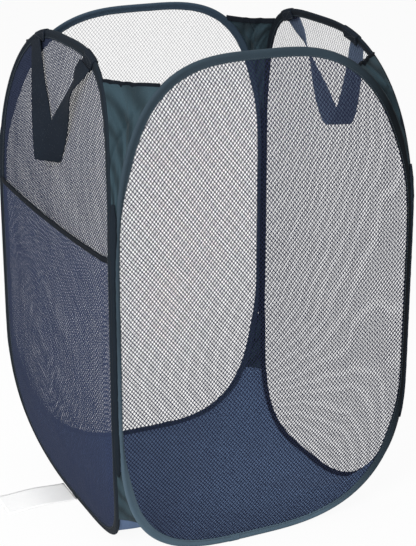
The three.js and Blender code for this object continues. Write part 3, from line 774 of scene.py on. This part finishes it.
def sewn_tape(side, seed):
    """Binding tape folded round the wire, the lap of its two ends, and its stitches."""
    # The back loop takes the paler tape, which is painted light, and the side loops take the darker tape,
    # which is painted shade
    finish = {"front": TAPE, "back": LIT_BACK_TAPE}.get(side, SHADED_SIDE_TAPE)
    u, z, nu, nz, run = loop_path(520)
    rings, width = tape_rings(u, z, nu, nz, run[:-1], side, 1.0, seed)
    tape = swept(f"{side}_sewn_tape", rings, run, width, finish, closed_along=True)
    dress(tape, BODIES[side], "binding_tape", f"{side}_binding_tape")

    lap_start, lap_end = .034, .021
    u, z, nu, nz, run = loop_path(2600)
    at, whole = run[:-1], run[-1]
    lapped = (at > whole - lap_start) & (at < whole - lap_end)
    u, z, nu, nz, at = (values[lapped] for values in (u, z, nu, nz, at))
    rings, width = tape_rings(u, z, nu, nz, at, side, LAP_SWELL, seed)
    lap = swept(f"{side}_tape_lap", rings, at, width, finish, capped=True)
    dress(lap, BODIES[side], "binding_tape")

    u, z, nu, nz, run = loop_path(560)
    stand, stand_drawn = .00128, .0007
    for face, sign in FACES:
        inset = tape_inset(STITCH_LINE, side, u, z)
        off = stand + stand_drawn * np.clip(drawn_in(side, u, z), 0, 1)
        line = on_panel(side, u + nu * inset, z + nz * inset, sign * off)
        ways = np.roll(line, -1, 0) - np.roll(line, 1, 0)
        name = f"{side}_tape_{face}_stitches"
        row = stitched(name, side, sign, line, ways, TAPE_STITCH, THREAD)
        dress(row, BODIES[side], "binding_tape")


# ---- corner pieces, drawn at the front left corner and turned ----

def corner_edges(z):
    """Where cloth meets the front and the left loop at height z."""
    tucked = .0006
    front = np.stack([tucked - loop_half(z), -HALF_SPAN + lean(z), z], axis=-1)
    return front, front[..., [1, 0, 2]]


def corner_grid(bottom, top, rows, columns, bow, folds, sag=0.0):
    """Cloth between two loops: bow is how far its middle stands inward, folds its creases."""
    z = np.linspace(bottom, top, rows)
    front, left = corner_edges(z)
    share = np.linspace(0, 1, columns)[None, :, None]
    grid = left[:, None] * (1 - share) + front[:, None] * share
    rise = ((z - bottom) / (top - bottom))[:, None]
    across = share[..., 0]
    middle = np.sin(across * math.pi)
    inward = bow * middle * rise + folds(across, rise) * np.sin(across * math.pi) ** .5
    grid[..., 0] += inward / math.sqrt(2)
    grid[..., 1] += inward / math.sqrt(2)
    grid[..., 2] -= sag * middle * rise
    width = np.linalg.norm(front - left, axis=1).max()
    return grid, z - bottom, np.linspace(0, width, columns)


def creases(seed, size):
    """Soft slanting creases of a taut cloth corner."""
    def folds(across, rise):
        total = 0
        for k, (slope, place, reach) in enumerate(CREASE_LINES):
            line = across * slope + rise - place - .03 * math.sin(seed * 3 + k)
            total = total + (-1) ** k * np.exp(-(line / reach) ** 2) * (1 - .12 * k)
        return size * total + .15 * size * np.sin(14 * across + 9 * rise + seed)
    return folds


def corner_pieces(corner, name, node, make):
    """Makes a corner piece and hides the model's part it stands for. At the open seam it is made as two
    halves, each hung on its own panel. make takes a name, the half and a turn."""
    turn = CORNERS[corner]
    if corner in SEAM_BODIES:
        pieces = [make(f"{corner}_{name}", None, turn)]
        hang_across(pieces[0], corner)
    else:
        pieces = []
        for half, body, joint in OPEN_SEAM:
            pieces.append(make(f"{corner}_{name}_{half}_half", half, turn))
            hang_half(pieces[-1], body, joint, half)
    for piece in pieces:
        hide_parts(node)
    return pieces


def hang_across(piece, corner):
    """Bakes a corner piece in place; the ends of its line across the seam, between its two panels, are
    worked out but not used.
    """
    first, second = SEAM_BODIES[corner]
    points = np.array([v.co for v in piece.data.vertices])
    middle = points.mean(0)
    across = turned(np.array([1.0, -1.0, 0.0]) / math.sqrt(2), CORNERS[corner])
    reach = np.abs((points - middle) @ across).max()
    if corner == "back_left":
        across = -across
    start, end = middle + across * reach, middle - across * reach
    tuple(start)
    tuple(end)
    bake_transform(piece)


def hang_half(piece, body, joint, half):
    """Hangs half of a corner piece on its panel and gives it a mesh of its own; the axis and middle it
    would be squashed about are worked out but not used.
    """
    heights = np.array([v.co[2] for v in piece.data.vertices])
    low, high = heights.min(), heights.max()
    ends = HALF_SPAN - lean(np.array([low, high]))
    axis = Vector((high - low, 0, ends[0] - ends[1])).normalized()
    middle = Vector((HALF_SPAN - float(lean((low + high) / 2)), 0, (low + high) / 2))
    if half == "back":
        axis, middle = axis.yxz, middle.yxz
    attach(piece, body)
    tuple(axis)
    tuple(middle)
    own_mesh(piece)


def cut_half(grid, across, half):
    """The whole of a corner's grid, or the half on one panel."""
    middle = grid.shape[1] // 2
    part = {None: slice(None), "back": slice(middle, None), "side": slice(middle + 1)}[half]
    return grid[:, part], across[part]


def gusset_grid(top, seed, half):
    grid, up, across = corner_grid(UPPER_GUSSET_APEX, top, 88, 31, UPPER_GUSSET_BOW,
                                   creases(seed, UPPER_GUSSET_CREASE), UPPER_GUSSET_SAG)
    return (*cut_half(grid, across, half), up)


def upper_gusset(corner, seed):
    def make(name, half, turn):
        grid, across, up = gusset_grid(UPPER_GUSSET_TOP - .003, seed, half)
        return cloth(name, turned(grid, turn), GUSSET_THICKNESS, up, across, GUSSET)

    pieces = corner_pieces(corner, "gusset_cloth", f"{corner}_upper_gusset", make)


def gusset_edging(corner, seed):
    def make(name, half, turn):
        path = turned(gusset_grid(UPPER_GUSSET_TOP - EDGING_WIDTH / 2, seed, half)[0][-1], turn)
        section = flat_section(EDGING_WIDTH, EDGING_THICKNESS)
        return ribbon(name, path, np.broadcast_to([0.0, 0.0, 1.0], path.shape), section, TRIM)

    corner_pieces(corner, "gusset_binding", f"{corner}_gusset_edging", make)


def lower_gusset(corner, seed):
    def make(name, half, turn):
        grid, up, across = corner_grid(LOWER_GUSSET_APEX, LOWER_GUSSET_EDGE, 26, 17,
                                       LOWER_GUSSET_BOW, creases(seed + 4, LOWER_GUSSET_CREASE))
        grid, across = cut_half(grid, across, half)
        return cloth(name, turned(grid[::-1], turn), GUSSET_THICKNESS, up[::-1], across, GUSSET)

    pieces = corner_pieces(corner, "foot_gusset_cloth", f"{corner}_lower_gusset", make)


def corner_welt(corner, seed):
    """Rolled seam in the groove between two tapes, slightly crinkled."""
    def make(name, half, turn):
        z = np.linspace(WELT_BOTTOM, WELT_TOP, 100)
        place = lean(z) - ARC_REACH - FLAT_HALF - WELT_GROOVE
        crinkle = WELT_CRINKLE * wavy(z, .02, seed)
        path = np.stack([place + crinkle, place - crinkle, z], axis=1)
        way = np.broadcast_to([1.0, -1.0, 0.0], path.shape) + .2 * crinkle[:, None] / WELT_CRINKLE
        keep = {None: lambda a: a, "back": lambda a: max(a, 0), "side": lambda a: min(a, 0)}[half]
        section = [(keep(a), b) for a, b in WELT_SECTION]
        size = 1 + (ARC_REACH + FLAT_HALF - loop_half(z)) / .0021
        size = size * np.clip(np.minimum(z - WELT_BOTTOM, WELT_TOP - z) / .045 + .10, .1, 1) ** .8
        return ribbon(name, turned(path, turn), turned(way, turn), section, WELT, scale=size)

    corner_pieces(corner, "rolled_welt", f"{corner}_corner_welt", make)


# ---- base ----

def base_cloth():
    """One sheet on the floor that climbs the feet of the loops to the lower gussets."""
    share = np.r_[np.linspace(0, .8, 33), np.linspace(.8, 1, 17)[1:]]
    share = np.r_[-share[:0:-1], share]
    x, y = np.meshgrid(share, share, indexing="ij")
    foot = np.linspace(0, LOWER_GUSSET_EDGE - .0045, 200)
    along, seat = loop_half(foot), HALF_SPAN - lean(foot + .005) - TAPE_HALF + .0004
    corner = (along[-1] + seat[-1] + TAPE_HALF) / 2

    def edge(distance):
        return np.interp(distance, np.r_[0, along, corner], np.r_[seat[0], seat, corner])

    px, py = x * edge(np.abs(y) * corner), y * edge(np.abs(x) * corner)
    nearer = -BASE_CREASE * np.log(np.exp(-np.abs(px) / BASE_CREASE) + np.exp(-np.abs(py) / BASE_CREASE))
    outward = np.maximum(np.abs(x), np.abs(y))
    height = np.minimum(foot_height(nearer), foot[-1]) + BASE_TURN_UP * outward ** 6 + BASE_LIFT
    puff = .0011 * (1 + wavy(px + .6 * py, .13, 1.3)) + .0007 * (1 + wavy(py - .5 * px, .09, 4.1))
    height = height + puff * np.clip(1 - outward ** 4, 0, 1)
    grid = np.stack([px, py, height], axis=-1)
    piece = cloth("base_cloth", grid, BASE_THICKNESS, share * corner, share * corner, BASE)
    dress(piece, "base", "base_fabric", "base_panel")
    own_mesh(piece)


# ---- carry straps ----

def carry_strap(side):
    """Webbing that hangs in a narrow loop outside the panel, its bottom turned partly edge-out
    and its leg past the middle turned the other way where it narrows."""
    shift, low, flare, opening, back, bend = STRAP_HANG[side]
    narrow, stiffness = .78, .0045
    t = np.linspace(-1, 1, 161)
    t = np.sign(t) * np.abs(t) ** 1.4
    share, way, past = np.abs(t), np.where(t < 0, -1, 1), t > 0
    higher, top, lower = crown_height(STRAP_SPACING / 2 + np.array([-.001, 0, .001]))
    slope = (higher - lower) / .002
    u = shift + (way * STRAP_SPACING / 2 - shift) * share
    climb = (np.sqrt(share ** 2 + bend ** 2) - bend) / (math.hypot(1, bend) - bend)
    z = low + (top - STRAP_TOP_DROP - low) * climb
    stiff = stiffness * np.sin(math.pi * share ** 2) * past
    off = TAPE_HALF + STRAP_STAND + flare * (1 - share) ** 1.5 + stiff
    turn = opening * (1 - share) ** 1.7 + 5 * np.sin(math.pi * share) * (t < 0)
    reach = np.where(share < narrow, .24, .10)
    turn = np.radians(turn - back * np.exp(-((share - narrow) / reach) ** 2) * past)
    tilt = .12 * (1 - share) ** 2 + way * slope * share ** 5
    width = np.stack([-np.cos(turn), -np.sin(turn), tilt], axis=1)
    # The right strap takes the paler webbing, which is painted light
    piece = ribbon(f"{side}_strap_webbing", on_panel(side, u, z, -off), turned(width, TURNS[side]),
                   flat_section(WEBBING_WIDTH, WEBBING_THICKNESS),
                   WEBBING if side == "left" else LIT_WEBBING, square=False)
    dress(piece, f"{side}_handle", "strap_webbing", f"{side}_carry_strap")


def wrap_pinch(depth):
    """How much nearer a wrap's two layers lie below the tape, as a share."""
    pinch, start, reach = .22, .005, .006
    return 1 - pinch * np.clip((depth - start) / reach, 0, 1)


def strap_wrap(side, place, middle):
    """End of the webbing, folded over the crown of a side loop and sewn down on both faces."""
    inner = TAPE_HALF + .0002 + WRAP_THICKNESS / 2
    turn = np.linspace(0, math.pi, 13)
    leg = np.linspace(WRAP_DEPTH, WRAP_BEAD, 9)[:-1]
    down = np.r_[leg, WRAP_BEAD - np.sin(turn) * inner, leg[::-1]]
    out = np.r_[np.full(8, -inner), -np.cos(turn) * inner, np.full(8, inner)] * wrap_pinch(down)
    u = np.linspace(middle - WEBBING_WIDTH / 2, middle + WEBBING_WIDTH / 2, 13)

    def hang(at, depth, off):
        slope = (crown_height(at + .001) - crown_height(at - .001)) / .002
        size = np.sqrt(1 + slope ** 2)
        return on_panel(side, at + slope / size * depth, crown_height(at) - depth / size, off)

    grid = hang(u[None], down[:, None], out[:, None])
    run = np.r_[0, np.cumsum(np.hypot(np.diff(down), np.diff(out)))]
    piece = cloth(f"{side}_{place}_wrap_webbing", grid, WRAP_THICKNESS, run, u - middle, WEBBING)
    dress(piece, BODIES[side], "strap_webbing", f"{side}_strap_{place}_wrap")
    spots, ways = [], []
    for (a, b), (c, d) in zip(WRAP_STITCH_BOX, WRAP_STITCH_BOX[1:]):
        length = math.hypot(c - a, d - b)
        for k in np.arange(.0012, length, WRAP_STITCH_PITCH):
            spots.append((a + (c - a) * k / length, b + (d - b) * k / length))
            ways.append(((c - a) / length, 0, -(d - b) / length))
    (across, depth), ways = np.array(spots).T, turned(np.array(ways), TURNS[side])
    for face, sign in FACES:
        off = inner * wrap_pinch(depth) + WRAP_THICKNESS / 2
        line = hang(middle + across, depth, sign * off)
        name = f"{side}_{place}_wrap_{face}_stitches"
        row = stitched(name, side, sign, line, ways, WRAP_STITCH, DARK_THREAD)
        dress(row, BODIES[side], "strap_webbing")


# ---- pocket and label ----

def pocket_stand(u, z):
    """How far the pocket's net stands off the side: tucked under the tape, slack between."""
    half = loop_half(z)
    from_rim = np.minimum(half - np.abs(u), z - foot_height(u)) - TAPE_WIDTH
    inside = np.clip(from_rim / TAPE_WIDTH, 0, 1)
    side = np.minimum(1, np.abs(u) / (half - TAPE_WIDTH))
    up = np.clip(z / POCKET_TOP, 0, 1)
    slack = POCKET_BULGE * (1 - side ** 2) * np.sin(up ** 1.3 * .92 * math.pi)
    soft = .0006 * wavy(u * 1.2 + z, .21, 2.4) * (1 - side ** 2) * (1 - up ** 4)
    return .0009 + (.0016 + slack + soft) * inside


def pocket_top(u):
    side = np.abs(u) / loop_half(np.array(POCKET_TOP))
    return POCKET_TOP - POCKET_SAG * (1 - side ** 2)


def pocket():
    def inside(u, z):
        wide = inset_half(z, POCKET_HEM) + .003 * drawn_in("left", u, z)
        return (np.abs(u) < wide) & (z < pocket_top(u) - .002)

    piece = net_lattice("pocket_knitted_net", "left", inside, lambda u, z: -pocket_stand(u, z),
                        CORD_WIDTH["pocket"], (.5, .5), 2.3, POCKET_NET, knotted=False)
    dress(piece, "left_side", "net", "side_pocket_net")

    half = float(loop_half(np.array(POCKET_TOP))) - .003
    u = np.linspace(-half, half, 120)
    gather = .0004 * wavy(u, .012, 3.3)
    path = on_panel("left", u, pocket_top(u) - POCKET_BAND / 2 + gather,
                    -pocket_stand(u, np.full_like(u, POCKET_TOP)))
    section = flat_section(POCKET_BAND, POCKET_BAND_THICKNESS)
    up = np.broadcast_to([0.0, 0.0, 1.0], path.shape)
    band = ribbon("pocket_elastic_band", path, up, section, TRIM)
    dress(band, "left_side", "trim", "side_pocket_band")


def label():
    """Ribbon that comes out from under the left side's foot, with one end corner curled up."""
    foot = -HALF_SPAN + float(lean(np.array(0.0))) - TAPE_HALF - .0006
    x = np.linspace(foot, foot - LABEL_LENGTH, 40)
    aside = np.linspace(-LABEL_WIDTH / 2, LABEL_WIDTH / 2, 15)
    y, run = aside + LABEL_OFFSET, foot - x
    share = (run / LABEL_LENGTH)[:, None]
    lift = .0006 + LABEL_WAVE * np.sin(np.clip(share, 0, 1) * math.pi) ** 2
    end = np.clip(share - LABEL_CURL_START, 0, 1) / (1 - LABEL_CURL_START)
    z = lift + LABEL_CURL * end ** 2 * np.clip(aside / (LABEL_WIDTH / 2), 0, 1)
    grid = np.stack([np.broadcast_to(x[:, None], z.shape), np.broadcast_to(y, z.shape), z], axis=-1)
    piece = cloth("label_ribbon", grid, LABEL_THICKNESS, run, y, LABEL)
    dress(piece, "left_side", "label", "care_label")


def dress(piece, body, slot, *nodes):
    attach(piece, body)
    if nodes:
        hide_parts(*nodes)


# ---- room, light and camera ----

def show_white(tree, plain, white, output, share):
    """Shows the camera plain white, by a share, and everything else the plain surface."""
    rays = tree.nodes.new("ShaderNodeLightPath")
    mix = tree.nodes.new("ShaderNodeMixShader")
    feed(tree, mix.inputs[0], calc(tree, "MULTIPLY", rays.outputs["Is Camera Ray"], share))
    feed(tree, mix.inputs[1], plain.outputs[0])
    feed(tree, mix.inputs[2], white.outputs[0])
    feed(tree, tree.nodes[output].inputs["Surface"], mix.outputs[0])


def studio():
    bpy.ops.mesh.primitive_plane_add(size=12, location=(0, 0, 0))
    floor = bpy.context.object
    floor.name = "studio_floor"
    material = bpy.data.materials.new("pale floor")
    material.use_nodes = True
    tree = material.node_tree
    tree.nodes.remove(tree.nodes["Principled BSDF"])
    matt = tree.nodes.new("ShaderNodeBsdfDiffuse")
    matt.inputs["Color"].default_value = (.8, .8, .8, 1)
    show_white(tree, matt, tree.nodes.new("ShaderNodeEmission"), "Material Output", .94)
    floor.data.materials.append(material)

    world = bpy.data.worlds.new("studio")
    bpy.context.scene.world = world
    world.use_nodes = True
    soft = world.node_tree.nodes["Background"]
    backdrop = world.node_tree.nodes.new("ShaderNodeBackground")
    for light, strength in ((soft, .42), (backdrop, 1)):
        light.inputs["Color"].default_value = (1, 1, 1, 1)
        light.inputs["Strength"].default_value = strength
    show_white(world.node_tree, soft, backdrop, "World Output", 1)


def lamp(name, place, aim, size, power):
    light = bpy.data.lights.new(name, "AREA")
    light.shape = "DISK"
    light.size = size
    light.energy = power
    lamp_object = bpy.data.objects.new(name, light)
    lamp_object.location = place
    lamp_object.rotation_euler = (Vector(aim) - Vector(place)).to_track_quat("-Z", "Y").to_euler()
    bpy.context.scene.collection.objects.link(lamp_object)


def camera():
    azimuth, elevation, distance = math.radians(-25.15), math.radians(19.6), 1.930
    aim_height, aim_aside = .2943, .0133
    focal_pixels, frame_pixels, sensor = 1523, 546, 36
    target = Vector((0, 0, aim_height))
    away = Vector((math.sin(azimuth) * math.cos(elevation), -math.cos(azimuth) * math.cos(elevation),
                   math.sin(elevation)))
    aim = target + Vector((math.cos(azimuth), math.sin(azimuth), 0)) * aim_aside
    lens = bpy.data.cameras.new("camera")
    lens.sensor_fit = "VERTICAL"
    lens.sensor_height = sensor
    lens.lens = focal_pixels / frame_pixels * sensor
    eye = bpy.data.objects.new("camera", lens)
    eye.location = target + away * distance
    eye.rotation_euler = (aim - eye.location).to_track_quat("-Z", "Y").to_euler()
    bpy.context.scene.collection.objects.link(eye)
    bpy.context.scene.camera = eye


camera()
studio()
lamp("high lamp", (-.6, .2, 2.7), (0, 0, .2), 1.8, 20)
lamp("front lamp", (-1.7, -1.8, 1.7), (0, 0, .3), 1.0, 72)

for index, panel in enumerate(("front", "left", "right", "back")):
    sewn_tape(panel, 1.7 * index)
    panel_net(panel, 2.3 * index)
for index, seam in enumerate(CORNERS):
    upper_gusset(seam, 1.9 * index)
    gusset_edging(seam, 1.9 * index)
    lower_gusset(seam, 1.3 * index)
    corner_welt(seam, 2.9 * index)
base_cloth()
for panel, toward_back in (("left", -1), ("right", 1)):
    carry_strap(panel)
    strap_wrap(panel, "rear", toward_back * STRAP_SPACING / 2)
    strap_wrap(panel, "front", -toward_back * STRAP_SPACING / 2)
pocket()
label()
for panel in TURNS:
    for part in ("wire_loop", "wire_ferrule"):
        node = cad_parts[f"{panel}_{part}"]
        for place in node.material_slots:
            place.material = STEEL

bpy.context.scene.view_settings.view_transform = "Standard"
